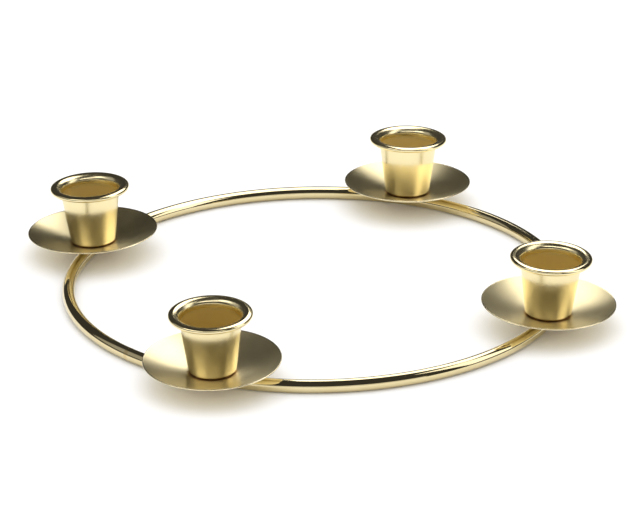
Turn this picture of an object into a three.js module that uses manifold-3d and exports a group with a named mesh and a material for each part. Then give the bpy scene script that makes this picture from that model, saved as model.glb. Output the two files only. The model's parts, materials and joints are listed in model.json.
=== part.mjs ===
// Candle wreath frame: a closed ring of round rod that carries candle holders.
// Each holder is a drawn cup in a dished drip pan, held on the ring by one screw and its washer.
// Millimetres, +Z up. The origin is on the ring's axis, on the plane that the ring rests on.
import * as THREE from "three";
import { mergeVertices } from "three/addons/utils/BufferGeometryUtils.js";
import Module from "manifold-3d";

// ---- Driving dimensions ----
const RING_OUTER_DIAMETER = 254;
const ROD_DIAMETER = 6.5;

const HOLDER_COUNT = 4;
const HOLDER_LEAN = THREE.MathUtils.degToRad(2.3); // each holder leans out from the ring's axis

const PAN_DIAMETER = 66;
const PAN_SHEET = 0.6;
const PAN_DISH_RADIUS = 80;
const PAN_SEAT_INSET = 0.4; // the flat pressed in the pan's middle stops this far inside the cup's base

const CUP_BASE_DIAMETER = 22.8; // outside, where the wall's slope meets the floor
const CUP_SHEET = 0.5;
const CUP_CORNER_RADIUS = 1.6;
const CUP_WALL_SLOPE = THREE.MathUtils.degToRad(7.6); // the wall's slope off the cup's axis
const CUP_HEIGHT = 30.3; // from the floor's underside to the top of the rim
const FLARE_RADIUS = 4.18; // of the cup's inside face, where it turns out to the rim
const RIM_BEAD_DIAMETER = 3.2;
const RIM_CURL = THREE.MathUtils.degToRad(235); // how far the sheet rolls round past the bead's top

const SCREW_DIAMETER = 3;
const SCREW_LENGTH = 6;
const SCREW_HEAD_DIAMETER = 5.6;
const SCREW_HEAD_HEIGHT = 1.6;
const SCREW_HEAD_EDGE = 0.8; // height of the head's straight side, under its coned top
const SCREW_HEAD_TOP_DIAMETER = 4; // of the flat that the candle stands on
const SCREW_SLOT_WIDTH = 0.8;
const SCREW_SLOT_DEPTH = 0.8;

const WASHER_DIAMETER = 7;
const WASHER_SHEET = 0.5;

// ---- Clearances ----
const FACE_GAP = 0.3; // between two faces that are clamped together
const HOLE_CLEARANCE = 0.2; // round the screw in the pan, the cup and the washer, on the radius
const THREAD_CLEARANCE = 0.15; // round the screw in the tapped hole, on the radius
const SCREW_END_CLEARANCE = 0.4; // under the screw's tip in the tapped hole

// ---- Facets ----
const RING_FACETS = 72;
const ROD_FACETS = 12;
const PAN_FACETS = 36;
const CUP_FACETS = 32;
const SCREW_FACETS = 16;
const DISH_STEPS = 5;
const CORNER_STEPS = 2;
const FLARE_STEPS = 3;
const CURL_STEPS = 6;
const SAME_POINT = 1e-4; // corners of a mesh that are nearer than this are one

// ---- Sizes that follow from the driving dimensions ----
const rodRadius = ROD_DIAMETER / 2;
const ringRadius = RING_OUTER_DIAMETER / 2 - rodRadius; // to the rod's centre line
const holeRadius = SCREW_DIAMETER / 2 + HOLE_CLEARANCE;

// Heights in a holder, up its own axis from the rod's centre line.
const panBottom = rodRadius + FACE_GAP;
const cupBottom = panBottom + PAN_SHEET + FACE_GAP;
const washerBottom = cupBottom + CUP_SHEET + FACE_GAP;
const headBottom = washerBottom + WASHER_SHEET + FACE_GAP;
const screwTip = headBottom - SCREW_LENGTH;

const BRASS = 0xd8c178;
const finishes = {
  polishedBrass: () => new THREE.MeshStandardMaterial({ color: BRASS, metalness: 1, roughness: 0.08 }),
  satinBrass: () => new THREE.MeshStandardMaterial({ color: BRASS, metalness: 1, roughness: 0.35 }),
  zincSteel: () => new THREE.MeshStandardMaterial({ color: 0xb9bcbe, metalness: 1, roughness: 0.3 }),
};

const manifoldLibrary = await Module();
manifoldLibrary.setup();

// ---- Outlines: points of x, the distance from the axis, and y, the height ----

// Points along an arc, with both its ends, from one angle to another.
function arc(centreX, centreY, radius, fromAngle, toAngle, steps) {
  return Array.from({ length: steps + 1 }, (_, i) => {
    const angle = fromAngle + ((toAngle - fromAngle) * i) / steps;
    return new THREE.Vector2(centreX + radius * Math.cos(angle), centreY + radius * Math.sin(angle));
  });
}

// The closed outline of a sheet of even thickness whose middle follows a path.
function sheetOutline(path, thickness) {
  const side = (sign) =>
    path.map((point, i) => {
      const before = path[Math.max(i - 1, 0)];
      const after = path[Math.min(i + 1, path.length - 1)];
      const along = after.clone().sub(before).normalize();
      return new THREE.Vector2(along.y, -along.x).multiplyScalar((sign * thickness) / 2).add(point);
    });
  const outline = [...side(1), ...side(-1).reverse()];
  return [...outline, outline[0].clone()];
}

// A solid turned about +Z from an outline that runs anticlockwise.
function turned(outline, facets) {
  return new THREE.LatheGeometry(outline, facets).rotateX(Math.PI / 2);
}

// ---- Solids for boolean cuts ----

function toSolid(geometry) {
  const plain = new THREE.BufferGeometry().setAttribute("position", geometry.getAttribute("position"));
  plain.setIndex(geometry.index);
  const merged = mergeVertices(plain, SAME_POINT);
  const mesh = new manifoldLibrary.Mesh({
    numProp: 3,
    vertProperties: merged.attributes.position.array,
    triVerts: new Uint32Array(merged.index.array),
  });
  return new manifoldLibrary.Manifold(mesh);
}

function toGeometry(solid) {
  const mesh = solid.getMesh();
  const geometry = new THREE.BufferGeometry();
  geometry.setAttribute("position", new THREE.BufferAttribute(mesh.vertProperties, 3));
  geometry.setIndex(new THREE.BufferAttribute(mesh.triVerts, 1));
  geometry.computeVertexNormals();
  return geometry;
}

// ---- The ring ----

// The frame of one holder: on the rod's centre line, with +X out from the ring's axis and +Z up the holder.
function holderFrame(index) {
  const station = new THREE.Group();
  station.rotation.z = (2 * Math.PI * index) / HOLDER_COUNT;
  const holder = new THREE.Group();
  holder.position.set(ringRadius, 0, rodRadius);
  holder.rotation.y = HOLDER_LEAN;
  station.add(holder);
  return { station, holder };
}

// The rod's section has flats that lie on its round, so that it rests on a real face.
function ringOutline() {
  const cornerRadius = rodRadius / Math.cos(Math.PI / ROD_FACETS);
  const firstCorner = Math.PI / 2 + Math.PI / ROD_FACETS;
  return arc(ringRadius, rodRadius, cornerRadius, firstCorner, firstCorner + 2 * Math.PI, ROD_FACETS);
}

function ringGeometry() {
  const holeBottom = screwTip - SCREW_END_CLEARANCE;
  const holeTop = panBottom;
  const hole = new THREE.CylinderGeometry(
    SCREW_DIAMETER / 2 + THREAD_CLEARANCE,
    SCREW_DIAMETER / 2 + THREAD_CLEARANCE,
    holeTop - holeBottom,
    SCREW_FACETS,
  );
  hole.rotateX(Math.PI / 2).translate(0, 0, (holeTop + holeBottom) / 2);
  let ring = toSolid(turned(ringOutline(), RING_FACETS));
  for (let index = 0; index < HOLDER_COUNT; index += 1) {
    const { station, holder } = holderFrame(index);
    station.updateMatrixWorld(true);
    ring = ring.subtract(toSolid(hole.clone().applyMatrix4(holder.matrixWorld)));
  }
  return toGeometry(ring);
}

// ---- The holder's pieces, each in the holder's frame ----

// A flat seat for the cup, then a dish that is part of a ball.
function panGeometry() {
  const middle = panBottom + PAN_SHEET / 2;
  const seatRadius = CUP_BASE_DIAMETER / 2 - PAN_SEAT_INSET;
  const seatAngle = Math.asin(seatRadius / PAN_DISH_RADIUS);
  const rimAngle = Math.asin(PAN_DIAMETER / 2 / PAN_DISH_RADIUS);
  const ballCentre = middle + PAN_DISH_RADIUS * Math.cos(seatAngle);
  const down = -Math.PI / 2;
  const path = [
    new THREE.Vector2(holeRadius, middle),
    ...arc(0, ballCentre, PAN_DISH_RADIUS, down + seatAngle, down + rimAngle, DISH_STEPS),
  ];
  return turned(sheetOutline(path, PAN_SHEET), PAN_FACETS);
}

// A floor with a hole, a rounded corner, a sloping wall, a flare, and a rim rolled out and down into a bead.
function cupGeometry() {
  const half = CUP_SHEET / 2;
  const floor = cupBottom + half;
  const beadRadius = RIM_BEAD_DIAMETER / 2 - half;
  const beadTop = cupBottom + CUP_HEIGHT - half;

  // The wall's line, offset inwards to the middle of the sheet.
  const wallAt = (height) =>
    CUP_BASE_DIAMETER / 2 + (height - cupBottom) * Math.tan(CUP_WALL_SLOPE) - half / Math.cos(CUP_WALL_SLOPE);
  const cornerRadius = CUP_CORNER_RADIUS - half;
  const cornerCentreY = floor + cornerRadius;
  const cornerCentreX = wallAt(cornerCentreY) - cornerRadius / Math.cos(CUP_WALL_SLOPE);

  // The flare is an arc that leaves the wall's line smoothly and is level where it reaches the bead's top.
  const flareRadius = FLARE_RADIUS - half;
  const flareReach = (flareRadius * (1 - Math.sin(CUP_WALL_SLOPE))) / Math.cos(CUP_WALL_SLOPE);
  const beadCentreX = wallAt(beadTop) + flareReach;
  const flareCentreY = beadTop - flareRadius;

  const up = Math.PI / 2;
  const down = -Math.PI / 2;
  const path = [
    new THREE.Vector2(holeRadius, floor),
    ...arc(cornerCentreX, cornerCentreY, cornerRadius, down, -CUP_WALL_SLOPE, CORNER_STEPS),
    ...arc(beadCentreX, flareCentreY, flareRadius, Math.PI - CUP_WALL_SLOPE, up, FLARE_STEPS),
    ...arc(beadCentreX, beadTop - beadRadius, beadRadius, up, up - RIM_CURL, CURL_STEPS).slice(1),
  ];
  return turned(sheetOutline(path, CUP_SHEET), CUP_FACETS);
}

function washerGeometry() {
  const outer = WASHER_DIAMETER / 2;
  const top = washerBottom + WASHER_SHEET;
  const outline = [
    new THREE.Vector2(holeRadius, washerBottom),
    new THREE.Vector2(outer, washerBottom),
    new THREE.Vector2(outer, top),
    new THREE.Vector2(holeRadius, top),
    new THREE.Vector2(holeRadius, washerBottom),
  ];
  return turned(outline, SCREW_FACETS);
}

// A pan-head screw with a slot.
function screwGeometry() {
  const headRadius = SCREW_HEAD_DIAMETER / 2;
  const shankRadius = SCREW_DIAMETER / 2;
  const headTop = headBottom + SCREW_HEAD_HEIGHT;
  const outline = [
    new THREE.Vector2(0, screwTip),
    new THREE.Vector2(shankRadius, screwTip),
    new THREE.Vector2(shankRadius, headBottom),
    new THREE.Vector2(headRadius, headBottom),
    new THREE.Vector2(headRadius, headBottom + SCREW_HEAD_EDGE),
    new THREE.Vector2(SCREW_HEAD_TOP_DIAMETER / 2, headTop),
    new THREE.Vector2(0, headTop),
  ];
  const slot = new THREE.BoxGeometry(SCREW_HEAD_DIAMETER * 2, SCREW_SLOT_WIDTH, SCREW_SLOT_DEPTH * 2);
  slot.translate(0, 0, headTop);
  return toGeometry(toSolid(turned(outline, SCREW_FACETS)).subtract(toSolid(slot)));
}

// ---- The assembly ----

function piece(name, geometry, material) {
  const mesh = new THREE.Mesh(geometry, material);
  mesh.name = name;
  return mesh;
}

const wreathFrame = new THREE.Group();
wreathFrame.add(piece("ring_rod", ringGeometry(), finishes.polishedBrass()));

for (let index = 0; index < HOLDER_COUNT; index += 1) {
  const { station, holder } = holderFrame(index);
  const number = index + 1;
  holder.add(piece(`drip_pan_${number}`, panGeometry(), finishes.satinBrass()));
  holder.add(piece(`candle_cup_${number}`, cupGeometry(), finishes.satinBrass()));
  holder.add(piece(`screw_washer_${number}`, washerGeometry(), finishes.zincSteel()));
  holder.add(piece(`cup_screw_${number}`, screwGeometry(), finishes.zincSteel()));
  wreathFrame.add(station);
}

export default wreathFrame;
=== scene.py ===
# Candle wreath frame: a ring of polished brass rod with four candle cups, each in a dished drip pan.
# Metres, +Z up.
import json
import math

import bpy
from mathutils import Euler, Matrix, Vector


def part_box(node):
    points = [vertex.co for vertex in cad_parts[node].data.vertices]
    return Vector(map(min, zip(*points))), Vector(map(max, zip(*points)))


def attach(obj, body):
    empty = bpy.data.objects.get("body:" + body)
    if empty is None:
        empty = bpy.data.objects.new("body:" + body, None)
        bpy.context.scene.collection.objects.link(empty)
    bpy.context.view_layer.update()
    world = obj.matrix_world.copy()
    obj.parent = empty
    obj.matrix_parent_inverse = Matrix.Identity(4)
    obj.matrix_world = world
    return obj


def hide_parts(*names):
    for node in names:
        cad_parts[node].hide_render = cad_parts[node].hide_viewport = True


MM = 0.001


# ---- Small helpers ----


def linear(hex_colour):
    """A colour written as sRGB hex, as the linear colour that a shader takes."""
    parts = [int(hex_colour[i : i + 2], 16) / 255 for i in (1, 3, 5)]
    turned = [p / 12.92 if p <= 0.04045 else ((p + 0.055) / 1.055) ** 2.4 for p in parts]
    return (*turned, 1.0)


def add(tree, kind, links=None, **settings):
    """Adds a node. links gives its inputs a value or another node's output."""
    made = tree.nodes.new(kind)
    for name, value in settings.items():
        setattr(made, name, value)
    for name, value in (links or {}).items():
        if isinstance(value, bpy.types.NodeSocket):
            tree.links.new(value, made.inputs[name])
        else:
            made.inputs[name].default_value = value
    return made


def maths(tree, operation, first, second=0.0, third=0.0):
    """One sum on numbers or node outputs. Its output is returned."""
    kind = "ShaderNodeMath"
    return add(tree, kind, {0: first, 1: second, 2: third}, operation=operation).outputs[0]


def arc(centre, radius, start, end, steps):
    """Points of (distance from the axis, height) along an arc, with both its ends."""
    angles = [start + (end - start) * i / steps for i in range(steps + 1)]
    return [(centre[0] + radius * math.cos(a), centre[1] + radius * math.sin(a)) for a in angles]


def sheet_outline(path, thickness):
    """The closed outline of a sheet whose middle follows a path, and a full round at both its ends."""
    sides = {1: [], -1: []}
    for i, (x, y) in enumerate(path):
        x0, y0 = path[max(i - 1, 0)]
        x1, y1 = path[min(i + 1, len(path) - 1)]
        length = math.hypot(x1 - x0, y1 - y0)
        across = ((y1 - y0) / length, (x0 - x1) / length)
        for sign, points in sides.items():
            points.append((x + sign * across[0] * thickness / 2, y + sign * across[1] * thickness / 2))

    def round_end(end, near):
        heading = math.atan2(end[1] - near[1], end[0] - near[0])
        return arc(end, thickness / 2, heading - math.pi / 2, heading + math.pi / 2, EDGE_STEPS)[1:-1]

    return sides[1] + round_end(path[-1], path[-2]) + sides[-1][::-1] + round_end(path[0], path[1])


# ---- The camera comes first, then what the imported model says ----

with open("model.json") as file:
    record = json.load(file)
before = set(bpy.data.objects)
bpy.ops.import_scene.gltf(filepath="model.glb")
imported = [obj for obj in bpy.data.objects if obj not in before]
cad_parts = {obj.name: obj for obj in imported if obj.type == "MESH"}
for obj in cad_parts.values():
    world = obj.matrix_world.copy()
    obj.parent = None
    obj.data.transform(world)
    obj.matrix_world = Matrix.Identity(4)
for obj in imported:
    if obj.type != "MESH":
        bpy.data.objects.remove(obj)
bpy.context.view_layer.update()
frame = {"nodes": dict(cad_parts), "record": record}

# A long lens looks down on the ring, so that the four cups stand nearly upright in the picture.
CAMERA_LENS = 210.7  # millimetres
CAMERA_DISTANCE = 1.882  # metres, from the middle of the ring
CAMERA_CLIP = (0.05, 40)
CAMERA_AZIMUTH = math.radians(23.31)
CAMERA_ELEVATION = math.radians(23.13)
CAMERA_PITCH = math.radians(22.62)
CAMERA_YAW = math.radians(0.08)
CAMERA_ROLL = math.radians(-0.45)


def place_camera():
    """The camera circles the ring by its azimuth and elevation, and then has its own pitch, yaw and roll."""
    camera = bpy.data.objects.new("main_camera", bpy.data.cameras.new("main_camera"))
    bpy.context.scene.collection.objects.link(camera)
    camera.data.lens = CAMERA_LENS
    camera.data.clip_start, camera.data.clip_end = CAMERA_CLIP
    flat = CAMERA_DISTANCE * math.cos(CAMERA_ELEVATION)
    place = Vector((0, -flat, CAMERA_DISTANCE * math.sin(CAMERA_ELEVATION)))
    turn = Matrix.Rotation(CAMERA_AZIMUTH, 4, "Z")
    aim = Matrix.Rotation(-CAMERA_YAW, 4, "Z") @ Matrix.Rotation(math.pi / 2 - CAMERA_PITCH, 4, "X")
    roll = Matrix.Rotation(CAMERA_ROLL, 4, "Z")
    camera.matrix_world = turn @ Matrix.Translation(place) @ aim @ roll
    bpy.context.scene.camera = camera


ring_low, ring_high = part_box("ring_rod")
ROD_RADIUS = (ring_high.z - ring_low.z) / 2
RING_RADIUS = ring_high.x - ROD_RADIUS  # to the rod's centre line
seats = {m["name"]: Vector(m["axis"]) for m in frame["record"]["mounts"] if "seat" in m["name"]}
HOLDERS = sorted(int(name.rsplit("_", 1)[1]) for name in seats)


def holder_frame(number):
    """The frame of one holder: on the rod's centre line, +X out from the ring's axis, +Z up the holder."""
    up = seats[f"candle_seat_{number}"]
    round_ring = math.atan2(up.y, up.x)
    lean = math.atan2(math.hypot(up.x, up.y), up.z)
    centre = Vector((RING_RADIUS * math.cos(round_ring), RING_RADIUS * math.sin(round_ring), ROD_RADIUS))
    return Matrix.Translation(centre) @ Euler((0, lean, round_ring)).to_matrix().to_4x4()


def spans(node, number):
    """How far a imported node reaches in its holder's frame: widest radius, bore radius, bottom and top."""
    inverse = holder_frame(number).inverted()
    points = [inverse @ v.co for v in frame["nodes"][node].data.vertices]
    radii = [math.hypot(p.x, p.y) for p in points]
    heights = [p.z for p in points]
    return max(radii), min(radii), min(heights), max(heights)


FIRST = HOLDERS[0]
PAN_RADIUS, HOLE_RADIUS, PAN_BOTTOM, _ = spans(f"drip_pan_{FIRST}", FIRST)
CUP_RADIUS, _, CUP_BOTTOM, CUP_TOP = spans(f"candle_cup_{FIRST}", FIRST)
WASHER_RADIUS, WASHER_BORE, WASHER_BOTTOM, WASHER_TOP = spans(f"screw_washer_{FIRST}", FIRST)
SCREW_HEAD_RADIUS, _, SCREW_TIP, SCREW_TOP = spans(f"cup_screw_{FIRST}", FIRST)

# ---- Sizes that the looks add ----

PAN_SHEET = 0.6 * MM
PAN_DISH_RADIUS = 80 * MM
PAN_SEAT_RADIUS = 11 * MM
PAN_SEAT_FILLET = 8 * MM
CUP_SHEET = 0.5 * MM
CUP_BASE_RADIUS = 11.4 * MM
CUP_CORNER_RADIUS = 1.6 * MM
CUP_WALL_SLOPE = math.radians(7.6)
FLARE_RADIUS = 4.18 * MM
RIM_BEAD_DIAMETER = 3.2 * MM
RIM_CURL = math.radians(235)
RIM_CROWN_RADIUS = 3.15 * MM
RIM_CROWN_TURN = math.radians(28)
RIM_TUCK_RADIUS = 0.85 * MM
SCREW_RADIUS = 1.5 * MM
SCREW_HEAD_HEIGHT = 1.6 * MM
SCREW_HEAD_EDGE = 0.8 * MM  # height of the head's straight side
SCREW_HEAD_TOP_RADIUS = 2 * MM
SCREW_HEAD_BREAK = 0.1 * MM
SCREW_TIP_CHAMFER = 0.3 * MM
SCREW_SLOT_WIDTH = 0.8 * MM
SCREW_SLOT_DEPTH = 0.8 * MM
THREAD_PITCH = 0.5 * MM
THREAD_DEPTH = 0.28 * MM
WASHER_BREAK = 0.08 * MM
TAPPED_HOLE_RADIUS = 1.65 * MM
TAPPED_HOLE_END = 0.4 * MM
WELD_ANGLE = math.radians(247)
WELD_WIDTH = 1.6 * MM
WELD_SWELL = 0.03 * MM

# ---- How finely the pieces are made ----

TURN_STEPS = 192
SCREW_STEPS = 48
EDGE_STEPS = 6
FLOOR_STEPS = 8
DISH_STEPS = 40
WALL_STEPS = 24
THREAD_STEPS = 8  # along each pitch
RING_STEPS = 720
ROD_STEPS = 64


# ---- Materials ----


def new_material(name):
    """An empty material with one Principled shader. Returns it, its tree and the shader."""
    material = bpy.data.materials.new(name)
    material.use_nodes = True
    tree = material.node_tree
    tree.nodes.clear()
    shader = add(tree, "ShaderNodeBsdfPrincipled")
    output = add(tree, "ShaderNodeOutputMaterial")
    tree.links.new(shader.outputs[0], output.inputs["Surface"])
    return material, tree, shader


def spread(tree, value, low, high, new_low, new_high):
    """Takes a value from one range to another, and stops it at the ends."""
    links = {"Value": value, "From Min": low, "From Max": high, "To Min": new_low, "To Max": new_high}
    return add(tree, "ShaderNodeMapRange", links).outputs[0]


def blend_colours(tree, share, first, second):
    """The first colour where share is 0, and the second where it is 1."""
    made = add(tree, "ShaderNodeMix", {0: share, 6: first, 7: second}, data_type="RGBA")
    return made.outputs[2]


def blend_numbers(tree, share, first, second):
    """The first number where share is 0, and the second where it is 1."""
    return add(tree, "ShaderNodeMix", {0: share, 2: first, 3: second}).outputs[0]


def noise(tree, vector, scale, detail=2.0, rough=0.5):
    """Smooth noise from 0 to 1, whose lumps are about 1 / scale of the vector's unit across."""
    links = {"Vector": vector, "Scale": scale, "Detail": detail, "Roughness": rough}
    return add(tree, "ShaderNodeTexNoise", links).outputs["Fac"]


def distance_from_axis(tree, x, y):
    """How far a point is from the Z axis."""
    squares = maths(tree, "ADD", maths(tree, "MULTIPLY", x, x), maths(tree, "MULTIPLY", y, y))
    return maths(tree, "SQRT", squares)


def turned_coordinates(tree):
    """What a turned piece's own attribute gives, in millimetres: distance from its axis, height, and
    the direction round the axis as two numbers that meet without a seam."""
    own = add(tree, "ShaderNodeAttribute", attribute_name="turned_mm").outputs["Vector"]
    parts = add(tree, "ShaderNodeSeparateXYZ", {"Vector": own})
    x, y, height = parts.outputs[:3]
    radius = distance_from_axis(tree, x, y)
    safe = maths(tree, "MAXIMUM", radius, 0.01)
    return radius, height, maths(tree, "DIVIDE", x, safe), maths(tree, "DIVIDE", y, safe)


def combine(tree, x, y, z):
    """A vector from three numbers or node outputs."""
    return add(tree, "ShaderNodeCombineXYZ", {0: x, 1: y, 2: z}).outputs[0]


# Brass plate under clear lacquer is a pale straw colour in one reflection, and gold only where light goes
# from brass to brass.
BRASS = "#F3E3B0"
BRASS_ROD = "#DFCFA0"  # a little greyer
BRASS_DEEP = "#CDAE66"  # at the weld
BRASS_CLEAN = "#FFEEB6"  # inside the cups, paler: painted light for the light bounced round the bore
BRASS_RUBBED = "#F6EAC6"  # where hands and cloths have rubbed it, and as painted sheen along the pan's edge
LACQUER_STAIN = "#A8702E"  # painted shade, a brown put where the cup meets the pan
ZINC_COOL = "#C4C8CC"
ZINC_WARM = "#D2D0C2"
PAPER_WHITE = "#F4F4F4"


def polished_lacquered_brass():
    """Brass-plated rod, buffed along its length, then clear lacquered: it mirrors the room, a little softly,
    with long low ripples where the rod was bent."""
    material, tree, shader = new_material("polished_lacquered_brass")
    place = add(tree, "ShaderNodeTexCoord").outputs["Object"]
    parts = add(tree, "ShaderNodeSeparateXYZ", {"Vector": place})
    angle = maths(tree, "ARCTAN2", parts.outputs[1], parts.outputs[0])
    across = maths(tree, "SUBTRACT", distance_from_axis(tree, *parts.outputs[:2]), RING_RADIUS)
    # Buffing lines run along the rod, 0.4 mm apart: coarser than the real ones, so that they show.
    lines = noise(
        tree,
        combine(
            tree,
            maths(tree, "MULTIPLY", across, 1 / (0.4 * MM)),
            maths(tree, "MULTIPLY", parts.outputs[2], 1 / (0.4 * MM)),
            maths(tree, "MULTIPLY", angle, RING_RADIUS / (30 * MM)),
        ),
        1.0,
        3.0,
    )
    ripple = noise(tree, place, 1 / (14 * MM), 1.0)
    cloud = noise(tree, place, 1 / (22 * MM), 3.0)
    # The butt weld is dressed flush with a file and buffed, which leaves a narrow duller band.
    from_weld = maths(tree, "ABSOLUTE", maths(tree, "SUBTRACT", angle, WELD_ANGLE - 2 * math.pi))
    band = spread(tree, from_weld, WELD_WIDTH / RING_RADIUS / 2, WELD_WIDTH / RING_RADIUS, 1.0, 0.0)
    colour = blend_colours(
        tree, maths(tree, "MULTIPLY", band, 0.45), linear(BRASS_ROD), linear(BRASS_DEEP)
    )
    worn = spread(tree, cloud, 0.45, 0.75, 0.0, 0.25)
    shader_colour = blend_colours(tree, worn, colour, linear(BRASS_RUBBED))
    tree.links.new(shader_colour, shader.inputs["Base Color"])
    rough = maths(
        tree,
        "ADD",
        spread(tree, lines, 0.3, 0.7, 0.05, 0.10),
        maths(tree, "MULTIPLY", band, 0.14),
    )
    tree.links.new(rough, shader.inputs["Roughness"])
    shader.inputs["Metallic"].default_value = 1.0
    shader.inputs["Coat Weight"].default_value = 0.3
    shader.inputs["Coat Roughness"].default_value = 0.04
    low = add(tree, "ShaderNodeBump", {"Strength": 1.0, "Distance": 0.05 * MM, "Height": ripple})
    fine = add(
        tree,
        "ShaderNodeBump",
        {"Strength": 1.0, "Distance": 0.0015 * MM, "Height": lines, "Normal": low.outputs[0]},
    )
    tree.links.new(fine.outputs[0], shader.inputs["Normal"])
    return material


def satin_brass(name, lines_vector, rough_low, rough_high, line_depth, stretch, turn_of_lines, extra=None):
    """Satin brass plate. lines_vector gives the vector that its fine lines follow, from the turned
    coordinates, and extra may change its colour, roughness and lines by place."""
    material, tree, shader = new_material(name)
    radius, height, east, north = turned_coordinates(tree)
    lines = noise(tree, lines_vector(tree, radius, height, east, north), 1.0, 4.0, 0.6)
    place = add(tree, "ShaderNodeTexCoord").outputs["Object"]
    cloud = noise(tree, place, 1 / (9 * MM), 3.0)
    colour = blend_colours(
        tree, spread(tree, lines, 0.35, 0.65, 0.0, 0.3), linear(BRASS), linear(BRASS_RUBBED)
    )
    rough = maths(
        tree,
        "ADD",
        spread(tree, lines, 0.3, 0.7, rough_low, rough_high),
        spread(tree, cloud, 0.3, 0.7, -0.02, 0.03),
    )
    if extra:
        colour, rough, lines = extra(tree, radius, height, colour, rough, lines)
    tree.links.new(colour, shader.inputs["Base Color"])
    tree.links.new(rough, shader.inputs["Roughness"])
    shader.inputs["Metallic"].default_value = 1.0
    shader.inputs["Anisotropic"].default_value = stretch
    shader.inputs["Anisotropic Rotation"].default_value = turn_of_lines
    tangent = add(tree, "ShaderNodeTangent", direction_type="UV_MAP", uv_map="UVMap")
    tree.links.new(tangent.outputs[0], shader.inputs["Tangent"])
    bump = add(tree, "ShaderNodeBump", {"Strength": 1.0, "Distance": line_depth, "Height": lines})
    tree.links.new(bump.outputs[0], shader.inputs["Normal"])
    return material


def satin_spun_brass():
    """The drip pan: spun against fine abrasive, so its lines are rings round the middle. Painted shade: its
    colour is browned a little where the cup stands."""

    def rings(tree, radius, height, east, north):
        # Rings 0.45 mm apart: coarser than the real ones, so that they show.
        return combine(
            tree,
            maths(tree, "MULTIPLY", radius, 1 / 0.45),
            maths(tree, "MULTIPLY", east, 2.2),
            maths(tree, "MULTIPLY", north, 2.2),
        )

    def by_place(tree, radius, height, colour, rough, lines):
        # Painted shade: the pan is browned round the foot of the cup, where the two meet.
        near_cup = spread(tree, radius, CUP_BASE_RADIUS / MM - 0.4, CUP_BASE_RADIUS / MM + 1.2, 1.0, 0.0)
        stained = blend_colours(tree, maths(tree, "MULTIPLY", near_cup, 0.6), colour, linear(LACQUER_STAIN))
        # Painted highlight: a band at the pan's outer edge is painted paler, and is made smoother too.
        edge = spread(tree, radius, PAN_RADIUS / MM - 0.8, PAN_RADIUS / MM - 0.2, 0.0, 1.0)
        rubbed = blend_colours(tree, maths(tree, "MULTIPLY", edge, 0.7), stained, linear(BRASS_RUBBED))
        smooth = maths(tree, "SUBTRACT", rough, maths(tree, "MULTIPLY", edge, 0.12))
        return rubbed, smooth, lines

    # A quarter turn is for grooves that run round the axis: highlights stretch across them.
    return satin_brass(
        "satin_spun_brass",
        rings,
        rough_low=0.31,
        rough_high=0.35,
        line_depth=0.0008 * MM,
        stretch=0.78,
        turn_of_lines=0.25,
        extra=by_place,
    )


def satin_drawn_brass():
    """The candle cup: drawn from sheet, which leaves fine lines up its wall, with the rolled rim burnished
    bright by the rolling tool."""

    def up_the_wall(tree, radius, height, east, north):
        # Lines 0.5 mm apart round the wall: coarser than the real ones, so that they show.
        return combine(
            tree,
            maths(tree, "MULTIPLY", east, 13 / 0.5),
            maths(tree, "MULTIPLY", north, 13 / 0.5),
            maths(tree, "MULTIPLY", height, 1 / 14),
        )

    def by_place(tree, radius, height, colour, rough, lines):
        bead_start = (CUP_RADIUS - RIM_BEAD_DIAMETER) / MM
        rim = spread(tree, radius, bead_start - 0.8, bead_start + 0.2, 0.0, 1.0)
        # Painted shade: the cup's bottom millimetre is browned, where it stands on the pan.
        foot = spread(tree, height, CUP_BOTTOM / MM, CUP_BOTTOM / MM + 1.0, 1.0, 0.0)
        stained = blend_colours(tree, maths(tree, "MULTIPLY", foot, 0.5), colour, linear(LACQUER_STAIN))
        burnished = blend_colours(tree, maths(tree, "MULTIPLY", rim, 0.5), stained, linear(BRASS))
        smooth = blend_numbers(tree, rim, rough, 0.12)
        calm = blend_numbers(tree, rim, lines, 0.5)
        # The bore keeps the soft pickled surface that drawing leaves, and its colour is a paler brass:
        # painted light for the light bounced round inside the cup. The UV map's height follows the outline,
        # whose second half is the sheet's inner face.
        unwrapped = add(tree, "ShaderNodeUVMap", uv_map="UVMap").outputs[0]
        along = add(tree, "ShaderNodeSeparateXYZ", {"Vector": unwrapped}).outputs[1]
        bore_top = (CUP_TOP - FLARE_RADIUS) / MM
        depth = spread(tree, height, bore_top - 2.0, bore_top, 1.0, 0.0)
        bore = maths(tree, "MULTIPLY", maths(tree, "GREATER_THAN", along, 0.5), depth)
        colour = blend_colours(tree, bore, burnished, linear(BRASS_CLEAN))
        return colour, blend_numbers(tree, bore, smooth, 0.6), calm

    return satin_brass(
        "satin_drawn_brass",
        up_the_wall,
        rough_low=0.19,
        rough_high=0.24,
        line_depth=0.0022 * MM,
        stretch=0.74,
        turn_of_lines=0.0,
        extra=by_place,
    )


def zinc_plated_steel():
    """Bright zinc plate with a faint blue passivate, on machine-turned fasteners."""
    material, tree, shader = new_material("zinc_plated_steel")
    radius, _, east, north = turned_coordinates(tree)
    # Turning marks 0.12 mm apart: coarser than the real ones, so that they show.
    lines = noise(tree, combine(tree, maths(tree, "MULTIPLY", radius, 1 / 0.12), east, north), 1.0, 3.0)
    cloud = noise(tree, add(tree, "ShaderNodeTexCoord").outputs["Object"], 1 / (2 * MM), 2.0)
    colour = blend_colours(
        tree, spread(tree, cloud, 0.35, 0.65, 0.0, 1.0), linear(ZINC_COOL), linear(ZINC_WARM)
    )
    tree.links.new(colour, shader.inputs["Base Color"])
    tree.links.new(spread(tree, lines, 0.3, 0.7, 0.18, 0.32), shader.inputs["Roughness"])
    shader.inputs["Metallic"].default_value = 1.0
    bump = add(tree, "ShaderNodeBump", {"Strength": 1.0, "Distance": 0.002 * MM, "Height": lines})
    tree.links.new(bump.outputs[0], shader.inputs["Normal"])
    return material


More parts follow.
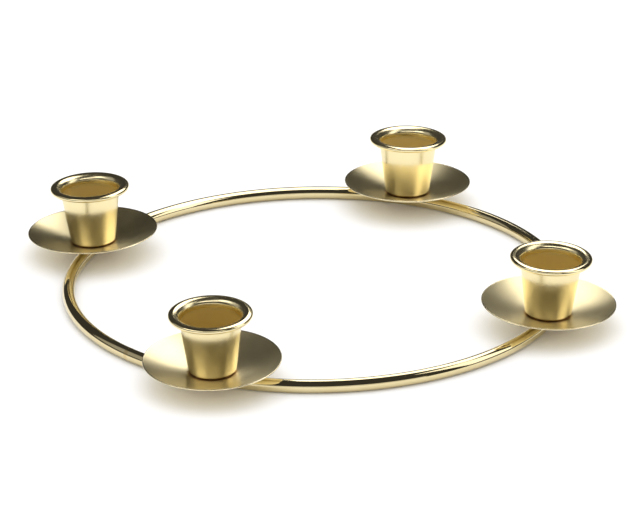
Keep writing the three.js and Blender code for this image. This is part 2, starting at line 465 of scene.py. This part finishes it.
def white_sweep_paper():
    """Matt white background paper with a faint tooth."""
    material, tree, shader = new_material("white_sweep_paper")
    shader.inputs["Base Color"].default_value = linear(PAPER_WHITE)
    shader.inputs["Roughness"].default_value = 0.9
    shader.inputs["Specular IOR Level"].default_value = 0.1
    tooth = noise(tree, add(tree, "ShaderNodeTexCoord").outputs["Object"], 1 / (0.8 * MM), 2.0)
    bump = add(tree, "ShaderNodeBump", {"Strength": 0.1, "Distance": 0.02 * MM, "Height": tooth})
    tree.links.new(bump.outputs[0], shader.inputs["Normal"])
    return material


# ---- Geometry Nodes: trees, and turning their result into plain meshes ----


def new_tree(name, inputs):
    """A geometry tree with named inputs. Returns the tree and its group input node."""
    tree = bpy.data.node_groups.new(name, "GeometryNodeTree")
    for label, kind in inputs.items():
        tree.interface.new_socket(label, in_out="INPUT", socket_type=kind)
    tree.interface.new_socket("Geometry", in_out="OUTPUT", socket_type="NodeSocketGeometry")
    return tree, add(tree, "NodeGroupInput")


def end_tree(tree, geometry, material):
    """Ends a tree in smooth shading, Realize Instances and Set Material."""
    smooth = add(tree, "GeometryNodeSetShadeSmooth", {"Geometry": geometry})
    real = add(tree, "GeometryNodeRealizeInstances", {"Geometry": smooth.outputs[0]})
    done = add(tree, "GeometryNodeSetMaterial", {"Geometry": real.outputs[0], "Material": material})
    out = add(tree, "NodeGroupOutput")
    tree.links.new(done.outputs[0], out.inputs[0])


def made_by(tree, name, values):
    """Runs a tree with values for its named inputs, and returns the result as a plain mesh object."""
    holder = bpy.data.objects.new(name, bpy.data.meshes.new(name))
    bpy.context.scene.collection.objects.link(holder)
    modifier = holder.modifiers.new(name, "NODES")
    modifier.node_group = tree
    for item in tree.interface.items_tree:
        if item.item_type == "SOCKET" and item.in_out == "INPUT" and item.name in values:
            modifier[item.identifier] = values[item.name]
    evaluated = holder.evaluated_get(bpy.context.evaluated_depsgraph_get())
    mesh = bpy.data.meshes.new_from_object(evaluated)
    holder.modifiers.remove(modifier)
    holder.data = mesh
    mesh.name = name
    return holder


def outline_helper(name, points):
    """An outline as a chain of points, x from the axis and z up, for a tree to turn."""
    mesh = bpy.data.meshes.new(name)
    mesh.from_pydata([(x, 0, z) for x, z in points], [(i, i + 1) for i in range(len(points) - 1)], [])
    helper = bpy.data.objects.new(name, mesh)
    bpy.context.scene.collection.objects.link(helper)
    return helper


def turning_tree():
    """Turns an outline about +Z. Each row of a grid takes the place of one point of the outline, and its
    columns go round. A thread can be cut into what is thinner than a given radius."""
    tree, given = new_tree(
        "turned_piece",
        {
            "Outline": "NodeSocketObject",
            "Points": "NodeSocketInt",
            "Steps Round": "NodeSocketInt",
            "Thread Pitch": "NodeSocketFloat",
            "Thread Depth": "NodeSocketFloat",
            "Thread Top": "NodeSocketFloat",
            "Material": "NodeSocketMaterial",
        },
    )
    outline = add(tree, "GeometryNodeObjectInfo", {"Object": given.outputs["Outline"]})
    columns = maths(tree, "ADD", given.outputs["Steps Round"], 1.0)
    grid = add(
        tree,
        "GeometryNodeMeshGrid",
        {"Size X": 1.0, "Size Y": 1.0, "Vertices X": columns, "Vertices Y": given.outputs["Points"]},
    )
    place = add(tree, "ShaderNodeSeparateXYZ", {"Vector": add(tree, "GeometryNodeInputPosition").outputs[0]})
    turn = maths(tree, "ADD", place.outputs[0], 0.5)
    last = maths(tree, "SUBTRACT", given.outputs["Points"], 1.0)
    row = maths(tree, "ROUND", maths(tree, "MULTIPLY", maths(tree, "ADD", place.outputs[1], 0.5), last))
    at_row = add(
        tree,
        "GeometryNodeSampleIndex",
        {
            "Geometry": outline.outputs["Geometry"],
            "Value": add(tree, "GeometryNodeInputPosition").outputs[0],
            "Index": row,
        },
        data_type="FLOAT_VECTOR",
    )
    point = add(tree, "ShaderNodeSeparateXYZ", {"Vector": at_row.outputs[0]})
    out, up = point.outputs[0], point.outputs[2]
    # A right-hand thread: its groove climbs one pitch in one turn.
    rise = maths(tree, "SUBTRACT", maths(tree, "DIVIDE", up, given.outputs["Thread Pitch"]), turn)
    groove = maths(tree, "PINGPONG", rise, 0.5)
    depth = maths(tree, "MULTIPLY", maths(tree, "MULTIPLY", groove, 2.0), given.outputs["Thread Depth"])
    below = maths(tree, "LESS_THAN", up, given.outputs["Thread Top"])
    off_axis = maths(tree, "GREATER_THAN", out, given.outputs["Thread Depth"])
    cut = maths(tree, "MULTIPLY", maths(tree, "MULTIPLY", depth, below), off_axis)
    radius = maths(tree, "SUBTRACT", out, cut)
    angle = maths(tree, "MULTIPLY", turn, 2 * math.pi)
    turned = combine(
        tree,
        maths(tree, "MULTIPLY", radius, maths(tree, "COSINE", angle)),
        maths(tree, "MULTIPLY", radius, maths(tree, "SINE", angle)),
        up,
    )
    stored = add(
        tree,
        "GeometryNodeStoreNamedAttribute",
        {
            "Geometry": grid.outputs["Mesh"],
            "Name": "UVMap",
            "Value": grid.outputs["UV Map"],
        },
        data_type="FLOAT2",
        domain="CORNER",
    )
    moved = add(tree, "GeometryNodeSetPosition", {"Geometry": stored.outputs[0], "Position": turned})
    in_mm = add(
        tree,
        "ShaderNodeVectorMath",
        {0: add(tree, "GeometryNodeInputPosition").outputs[0], "Scale": 1 / MM},
        operation="SCALE",
    )
    marked = add(
        tree,
        "GeometryNodeStoreNamedAttribute",
        {"Geometry": moved.outputs[0], "Name": "turned_mm", "Value": in_mm.outputs[0]},
        data_type="FLOAT_VECTOR",
        domain="POINT",
    )
    joined = add(
        tree, "GeometryNodeMergeByDistance", {"Geometry": marked.outputs[0], "Distance": 0.001 * MM}
    )
    end_tree(tree, joined.outputs[0], given.outputs["Material"])
    return tree


def turn_outline(tree, name, points, material, steps=TURN_STEPS, thread_top=-1.0):
    """One turned piece, about +Z at the origin, from an outline that runs anticlockwise."""
    helper = outline_helper(name + "_outline", points)
    piece = made_by(
        tree,
        name,
        {
            "Outline": helper,
            "Points": len(points),
            "Steps Round": steps,
            "Thread Pitch": THREAD_PITCH,
            "Thread Depth": THREAD_DEPTH,
            "Thread Top": thread_top,
            "Material": material,
        },
    )
    bpy.data.objects.remove(helper)
    return piece


def face_outwards(mesh):
    """Turns a closed mesh right side out, by the sign of its volume."""
    mesh.calc_loop_triangles()
    volume = 0.0
    for triangle in mesh.loop_triangles:
        a, b, c = (mesh.vertices[i].co for i in triangle.vertices)
        volume += a.dot(b.cross(c))
    if volume < 0:
        mesh.flip_normals()


# ---- The ring ----


def ring_tree():
    """A round rod bent into a closed ring, with a dressed weld, and a blind hole for each holder's screw."""
    tree, given = new_tree(
        "bent_rod_ring",
        {
            "Ring Radius": "NodeSocketFloat",
            "Rod Radius": "NodeSocketFloat",
            "Weld Angle": "NodeSocketFloat",
            "Weld Width": "NodeSocketFloat",
            "Weld Swell": "NodeSocketFloat",
            "Holes": "NodeSocketObject",
            "Material": "NodeSocketMaterial",
        },
    )
    line = add(
        tree,
        "GeometryNodeCurvePrimitiveCircle",
        {"Resolution": RING_STEPS, "Radius": given.outputs["Ring Radius"]},
    )
    share = add(tree, "GeometryNodeSplineParameter").outputs["Factor"]
    from_weld = maths(
        tree,
        "MULTIPLY",
        maths(
            tree,
            "SUBTRACT",
            maths(tree, "MULTIPLY", share, 2 * math.pi),
            given.outputs["Weld Angle"],
        ),
        given.outputs["Ring Radius"],
    )
    # The swell dies away as a bell over the weld's width.
    reach = maths(tree, "DIVIDE", from_weld, given.outputs["Weld Width"])
    bell = maths(tree, "EXPONENT", maths(tree, "MULTIPLY", maths(tree, "MULTIPLY", reach, reach), -1.0))
    swell = maths(tree, "MULTIPLY", bell, given.outputs["Weld Swell"])
    radius = maths(tree, "ADD", given.outputs["Rod Radius"], swell)
    section = add(tree, "GeometryNodeCurvePrimitiveCircle", {"Resolution": ROD_STEPS, "Radius": 1.0})
    swept = add(
        tree,
        "GeometryNodeCurveToMesh",
        {"Curve": line.outputs["Curve"], "Profile Curve": section.outputs["Curve"], "Scale": radius},
    )
    lifted = add(
        tree,
        "GeometryNodeTransform",
        {"Geometry": swept.outputs[0], "Translation": combine(tree, 0.0, 0.0, given.outputs["Rod Radius"])},
    )
    holes = add(tree, "GeometryNodeObjectInfo", {"Object": given.outputs["Holes"]})
    drilled = add(
        tree,
        "GeometryNodeMeshBoolean",
        {"Mesh 1": lifted.outputs[0], "Mesh 2": holes.outputs["Geometry"]},
        operation="DIFFERENCE",
    )
    end_tree(tree, drilled.outputs["Mesh"], given.outputs["Material"])
    return tree


def hole_cutters():
    """Plain pegs, one down each holder's axis, that the tapped holes are cut with."""
    rows, faces = [], []
    bottom, top = SCREW_TIP - TAPPED_HOLE_END, PAN_BOTTOM
    for number in HOLDERS:
        place = holder_frame(number)
        base = len(rows)
        for height in (bottom, top):
            for i in range(SCREW_STEPS):
                a = 2 * math.pi * i / SCREW_STEPS
                out = Vector((TAPPED_HOLE_RADIUS * math.cos(a), TAPPED_HOLE_RADIUS * math.sin(a), height))
                rows.append(place @ out)
        low = [base + i for i in range(SCREW_STEPS)]
        high = [i + SCREW_STEPS for i in low]
        faces += [low[::-1], high]
        for i in range(SCREW_STEPS):
            j = (i + 1) % SCREW_STEPS
            faces.append([low[i], low[j], high[j], high[i]])
    mesh = bpy.data.meshes.new("hole_cutters")
    mesh.from_pydata(rows, [], faces)
    cutters = bpy.data.objects.new("hole_cutters", mesh)
    bpy.context.scene.collection.objects.link(cutters)
    return cutters


def make_ring(material):
    """The whole ring as a plain mesh, with its holes drilled."""
    cutters = hole_cutters()
    ring = made_by(
        ring_tree(),
        "polished_ring",
        {
            "Ring Radius": RING_RADIUS,
            "Rod Radius": ROD_RADIUS,
            "Weld Angle": WELD_ANGLE,
            "Weld Width": WELD_WIDTH,
            "Weld Swell": WELD_SWELL,
            "Holes": cutters,
            "Material": material,
        },
    )
    bpy.data.objects.remove(cutters)
    face_outwards(ring.data)
    return ring


# ---- The holders' pieces ----


def pan_outline():
    """A flat seat, a soft bend, and a dish that is part of a ball."""
    middle = PAN_BOTTOM + PAN_SHEET / 2
    seat_angle = math.asin(PAN_SEAT_RADIUS / PAN_DISH_RADIUS)
    edge_radius = PAN_RADIUS - PAN_SHEET / 2
    rim_angle = math.asin(edge_radius / PAN_DISH_RADIUS)
    ball = (0, middle + PAN_DISH_RADIUS * math.cos(seat_angle))
    run = PAN_SEAT_FILLET * math.tan(seat_angle / 2)
    bend_centre = (PAN_SEAT_RADIUS - run, middle + PAN_SEAT_FILLET)
    down = -math.pi / 2
    bend = arc(bend_centre, PAN_SEAT_FILLET, down, down + seat_angle, 6)
    dish_start = math.asin((PAN_SEAT_RADIUS + 3 * run) / PAN_DISH_RADIUS)
    dish = arc(ball, PAN_DISH_RADIUS, down + dish_start, down + rim_angle, DISH_STEPS)
    start = HOLE_RADIUS + PAN_SHEET / 2
    flat_width = PAN_SEAT_RADIUS - 2 * run - start
    flat = [(start + flat_width * i / FLOOR_STEPS, middle) for i in range(FLOOR_STEPS + 1)]
    return sheet_outline(flat + bend + dish, PAN_SHEET)


def cup_outline():
    """A floor with a hole, a rounded corner, a sloping wall, a flare, and a rim rolled out into a bead
    whose crown the rolling tool has pressed a little flat."""
    half = CUP_SHEET / 2
    floor = CUP_BOTTOM + half
    bead_top = CUP_TOP - half
    slope_sin, slope_cos = math.sin(CUP_WALL_SLOPE), math.cos(CUP_WALL_SLOPE)

    def wall_at(height):
        return CUP_BASE_RADIUS + (height - CUP_BOTTOM) * math.tan(CUP_WALL_SLOPE) - half / slope_cos

    corner = CUP_CORNER_RADIUS - half
    corner_z = floor + corner
    corner_x = wall_at(corner_z) - corner / slope_cos
    crown_turn = math.sin(RIM_CROWN_TURN)
    bead_x = CUP_RADIUS - half - RIM_TUCK_RADIUS - (RIM_CROWN_RADIUS - RIM_TUCK_RADIUS) * crown_turn
    flare = (bead_x - wall_at(bead_top)) * slope_cos / (1 - slope_sin)
    up, down = math.pi / 2, -math.pi / 2
    start = HOLE_RADIUS + half
    flat = [(start + (corner_x - start) * i / FLOOR_STEPS, floor) for i in range(FLOOR_STEPS)]
    bend = arc((corner_x, corner_z), corner, down, -CUP_WALL_SLOPE, 8)
    lip = arc((bead_x, bead_top - flare), flare, math.pi - CUP_WALL_SLOPE, up, 16)
    foot, head = bend[-1], lip[0]
    wall = [
        (foot[0] + (head[0] - foot[0]) * i / WALL_STEPS, foot[1] + (head[1] - foot[1]) * i / WALL_STEPS)
        for i in range(1, WALL_STEPS)
    ]
    turned = up - RIM_CROWN_TURN
    crown = arc((bead_x, bead_top - RIM_CROWN_RADIUS), RIM_CROWN_RADIUS, up, turned, 10)[1:]
    tuck_centre = (
        crown[-1][0] - RIM_TUCK_RADIUS * math.cos(turned),
        crown[-1][1] - RIM_TUCK_RADIUS * math.sin(turned),
    )
    tuck = arc(tuck_centre, RIM_TUCK_RADIUS, turned, up - RIM_CURL, 24)[1:]
    return sheet_outline(flat + bend + wall + lip + crown + tuck, CUP_SHEET)


def washer_outline():
    """A flat ring with small broken edges."""
    corners = [
        (WASHER_BORE, WASHER_BOTTOM, 1, 1),
        (WASHER_RADIUS, WASHER_BOTTOM, -1, 1),
        (WASHER_RADIUS, WASHER_TOP, -1, -1),
        (WASHER_BORE, WASHER_TOP, 1, -1),
    ]
    points = []
    for i, (x, z, inward, upward) in enumerate(corners):
        along = (x + inward * WASHER_BREAK, z)
        side = (x, z + upward * WASHER_BREAK)
        points += [side, along] if i % 2 == 0 else [along, side]
    return points


def screw_outline():
    """Half of a pan-head screw: a chamfered tip, a threaded shank, and a head with a rounded top edge."""
    head_bottom = SCREW_TOP - SCREW_HEAD_HEIGHT
    samples = THREAD_STEPS * int((head_bottom - SCREW_TIP) / THREAD_PITCH)
    points = [(0, SCREW_TIP), (SCREW_RADIUS - SCREW_TIP_CHAMFER, SCREW_TIP)]
    first = SCREW_TIP + SCREW_TIP_CHAMFER
    for i in range(samples + 1):
        points.append((SCREW_RADIUS, first + (head_bottom - first) * i / samples))
    points.append((SCREW_HEAD_RADIUS - SCREW_HEAD_BREAK, head_bottom))
    points.append((SCREW_HEAD_RADIUS, head_bottom + SCREW_HEAD_BREAK))
    # The head's side turns over into its flat top in a quarter of an ellipse.
    crown = SCREW_HEAD_HEIGHT - SCREW_HEAD_EDGE
    crown_width = SCREW_HEAD_RADIUS - SCREW_HEAD_TOP_RADIUS
    for x, z in arc((0, 0), 1, 0, math.pi / 2, 10):
        points.append((SCREW_HEAD_TOP_RADIUS + crown_width * x, SCREW_TOP - crown * (1 - z)))
    points.append((0, SCREW_TOP))
    return points


def repeat_tree():
    """Puts a copy of one piece in each holder, with a slot cut across it first where a width is given."""
    tree, given = new_tree(
        "one_in_each_holder",
        {
            "Piece": "NodeSocketObject",
            "Slot Width": "NodeSocketFloat",
            "Slot Depth": "NodeSocketFloat",
            "Top": "NodeSocketFloat",
            "Length": "NodeSocketFloat",
            "Count": "NodeSocketInt",
            "Ring Radius": "NodeSocketFloat",
            "Height": "NodeSocketFloat",
            "Lean": "NodeSocketFloat",
            "Material": "NodeSocketMaterial",
        },
    )
    piece = add(tree, "GeometryNodeObjectInfo", {"Object": given.outputs["Piece"]})
    size = combine(
        tree,
        given.outputs["Length"],
        given.outputs["Slot Width"],
        maths(tree, "MULTIPLY", given.outputs["Slot Depth"], 2.0),
    )
    block = add(tree, "GeometryNodeMeshCube", {"Size": size})
    raised = add(
        tree,
        "GeometryNodeTransform",
        {"Geometry": block.outputs["Mesh"], "Translation": combine(tree, 0.0, 0.0, given.outputs["Top"])},
    )
    cut = add(
        tree,
        "GeometryNodeMeshBoolean",
        {"Mesh 1": piece.outputs["Geometry"], "Mesh 2": raised.outputs[0]},
        operation="DIFFERENCE",
    )
    slotted = maths(tree, "GREATER_THAN", given.outputs["Slot Width"], 0.0)
    chosen = add(
        tree,
        "GeometryNodeSwitch",
        {"Switch": slotted, "False": piece.outputs["Geometry"], "True": cut.outputs["Mesh"]},
        input_type="GEOMETRY",
    )
    index = add(tree, "GeometryNodeInputIndex").outputs[0]
    angle = maths(tree, "MULTIPLY", index, maths(tree, "DIVIDE", 2 * math.pi, given.outputs["Count"]))
    spot = combine(
        tree,
        maths(tree, "MULTIPLY", given.outputs["Ring Radius"], maths(tree, "COSINE", angle)),
        maths(tree, "MULTIPLY", given.outputs["Ring Radius"], maths(tree, "SINE", angle)),
        given.outputs["Height"],
    )
    points = add(tree, "GeometryNodePoints", {"Count": given.outputs["Count"], "Position": spot})
    placed = add(
        tree,
        "GeometryNodeInstanceOnPoints",
        {
            "Points": points.outputs[0],
            "Instance": chosen.outputs[0],
            "Rotation": combine(tree, 0.0, given.outputs["Lean"], angle),
        },
    )
    end_tree(tree, placed.outputs[0], given.outputs["Material"])
    return tree


def in_each_holder(tree, name, piece, material, slot_width=0.0):
    """One mesh with a copy of the piece in every holder. The piece itself is used up."""
    up = seats[f"candle_seat_{FIRST}"]
    made = made_by(
        tree,
        name,
        {
            "Piece": piece,
            "Slot Width": slot_width,
            "Slot Depth": SCREW_SLOT_DEPTH,
            "Top": SCREW_TOP,
            "Length": SCREW_HEAD_RADIUS * 4,
            "Count": len(HOLDERS),
            "Ring Radius": RING_RADIUS,
            "Height": ROD_RADIUS,
            "Lean": math.atan2(math.hypot(up.x, up.y), up.z),
            "Material": material,
        },
    )
    bpy.data.objects.remove(piece)
    face_outwards(made.data)
    return made


def finish_piece(piece, slot, *nodes):
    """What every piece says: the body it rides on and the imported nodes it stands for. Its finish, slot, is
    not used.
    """
    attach(piece, "root")
    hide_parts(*nodes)


def make_holders():
    """Pans, cups, washers and screws. Returns the pans and cups, which are the satin pieces."""
    turning = turning_tree()
    spun, drawn, zinc = satin_spun_brass(), satin_drawn_brass(), zinc_plated_steel()
    satin = []
    for number in HOLDERS:
        pan = turn_outline(turning, f"spun_drip_pan_{number}", pan_outline(), spun)
        cup = turn_outline(turning, f"drawn_candle_cup_{number}", cup_outline(), drawn)
        for piece in (pan, cup):
            face_outwards(piece.data)
            piece.data.transform(holder_frame(number))
        finish_piece(pan, "satin_brass_pan", f"drip_pan_{number}")
        finish_piece(cup, "satin_brass_cup", f"candle_cup_{number}")
        satin += [pan, cup]
    repeat = repeat_tree()
    washer = turn_outline(turning, "washer_blank", washer_outline(), zinc, SCREW_STEPS)
    thread_top = SCREW_TOP - SCREW_HEAD_HEIGHT - THREAD_PITCH
    screw = turn_outline(turning, "screw_blank", screw_outline(), zinc, SCREW_STEPS, thread_top)
    face_outwards(screw.data)
    washers = in_each_holder(repeat, "zinc_washers", washer, zinc)
    screws = in_each_holder(repeat, "slotted_cup_screws", screw, zinc, SCREW_SLOT_WIDTH)
    finish_piece(washers, "zinc_steel", *[f"screw_washer_{n}" for n in HOLDERS])
    finish_piece(screws, "zinc_steel", *[f"cup_screw_{n}" for n in HOLDERS])
    return satin


# ---- The floor, the lights and the room ----

# Each panel faces the middle of the ring. Its azimuth counts in degrees from straight behind the ring towards
# the camera's right, and its elevation in degrees. Then come its distance, width and height, and how bright
# it looks, where white paper in full light is 1.
PANELS = {
    "right_strip": (102, 34, 0.75, 0.36, 0.62, 1.7),
    "left_softbox": (-125, 45, 0.80, 0.50, 0.32, 1.8),
    "left_card": (-92, 30, 1.1, 0.9, 0.7, 0.35),
    "front_card": (180, 7, 1.15, 2.4, 0.26, 0.8),
    "front_kicker": (176, 42, 0.9, 0.8, 0.14, 2.6),
}
# These two hang level: a softbox over the back half of the ring, placed from the ring's middle as the
# camera sees it (right, back, up), and a wide lamp over everything. Each has width, height and brightness.
BACK_SOFTBOX_PLACE = (0.14, 0.35, 0.43)
BACK_SOFTBOX = (0.34, 0.60, 2.6)
FLOOR_FILL_PLACE = (0, 0, 2.0)
FLOOR_FILL = (2.4, 2.4, 0.6)
LAMP_COLOUR = "#FCFCFF"
ROOM_PALE = ("#FAFAFA", 1.2)
ROOM_DIM = ("#F2F0EC", 0.05)
FLOOR_HALF_WIDTH = 4.0


def make_light(name, matrix, width, height, brightness, on_metal=True):
    """An area lamp that only the metal mirrors, or one that only the floor takes light from."""
    data = bpy.data.lights.new(name, "AREA")
    data.shape = "RECTANGLE"
    data.size, data.size_y = width, height
    data.energy = brightness * math.pi * width * height
    data.color = linear(LAMP_COLOUR)[:3]
    lamp = bpy.data.objects.new(name, data)
    bpy.context.scene.collection.objects.link(lamp)
    lamp.matrix_world = matrix
    lamp.visible_camera = False
    lamp.visible_glossy = on_metal
    lamp.visible_diffuse = not on_metal
    return lamp


def light_the_scene(satin):
    """Panels and a softbox for the metal to mirror, and one lamp for the floor."""
    turn = Matrix.Rotation(CAMERA_AZIMUTH, 4, "Z")
    lamps = {}
    for name, (azimuth, elevation, distance, width, height, brightness) in PANELS.items():
        a, e = math.radians(azimuth), math.radians(elevation)
        away = Vector((math.sin(a) * math.cos(e), math.cos(a) * math.cos(e), math.sin(e)))
        aim = away.to_track_quat("Z", "Y").to_matrix().to_4x4()
        place = turn @ Matrix.Translation(away * distance) @ aim
        lamps[name] = make_light(name, place, width, height, brightness)
    # The kicker warms the feet of the cups and the fronts of the pans, and stays off the polished rod.
    only = bpy.data.collections.new("satin_pieces")
    for piece in satin:
        only.objects.link(piece)
    lamps["front_kicker"].light_linking.receiver_collection = only
    make_light("back_softbox", turn @ Matrix.Translation(BACK_SOFTBOX_PLACE), *BACK_SOFTBOX)
    make_light("floor_fill", Matrix.Translation(FLOOR_FILL_PLACE), *FLOOR_FILL, on_metal=False)


def make_floor():
    """A flat sheet of white paper, wider than any view of the ring."""
    half = FLOOR_HALF_WIDTH
    mesh = bpy.data.meshes.new("paper_floor")
    corners = [(-half, -half, 0), (half, -half, 0), (half, half, 0), (-half, half, 0)]
    mesh.from_pydata(corners, [], [(0, 1, 2, 3)])
    mesh.materials.append(white_sweep_paper())
    floor = bpy.data.objects.new("paper_floor", mesh)
    bpy.context.scene.collection.objects.link(floor)


def make_room():
    """A pale room to look at and to light the floor, and a dim one for the metal to mirror."""
    world = bpy.data.worlds.new("studio_room")
    bpy.context.scene.world = world
    world.use_nodes = True
    tree = world.node_tree
    tree.nodes.clear()
    pale, dim = (
        add(tree, "ShaderNodeBackground", {"Color": linear(colour), "Strength": strength})
        for colour, strength in (ROOM_PALE, ROOM_DIM)
    )
    mirrored = add(tree, "ShaderNodeLightPath").outputs["Is Glossy Ray"]
    both = add(tree, "ShaderNodeMixShader", {0: mirrored, 1: pale.outputs[0], 2: dim.outputs[0]})
    out = add(tree, "ShaderNodeOutputWorld")
    tree.links.new(both.outputs[0], out.inputs["Surface"])
    bpy.context.scene.view_settings.view_transform = "Standard"


# ---- Making it all ----

place_camera()
ring = make_ring(polished_lacquered_brass())
finish_piece(ring, "polished_brass", "ring_rod")
satin_pieces = make_holders()
make_floor()
light_the_scene(satin_pieces)
make_room()
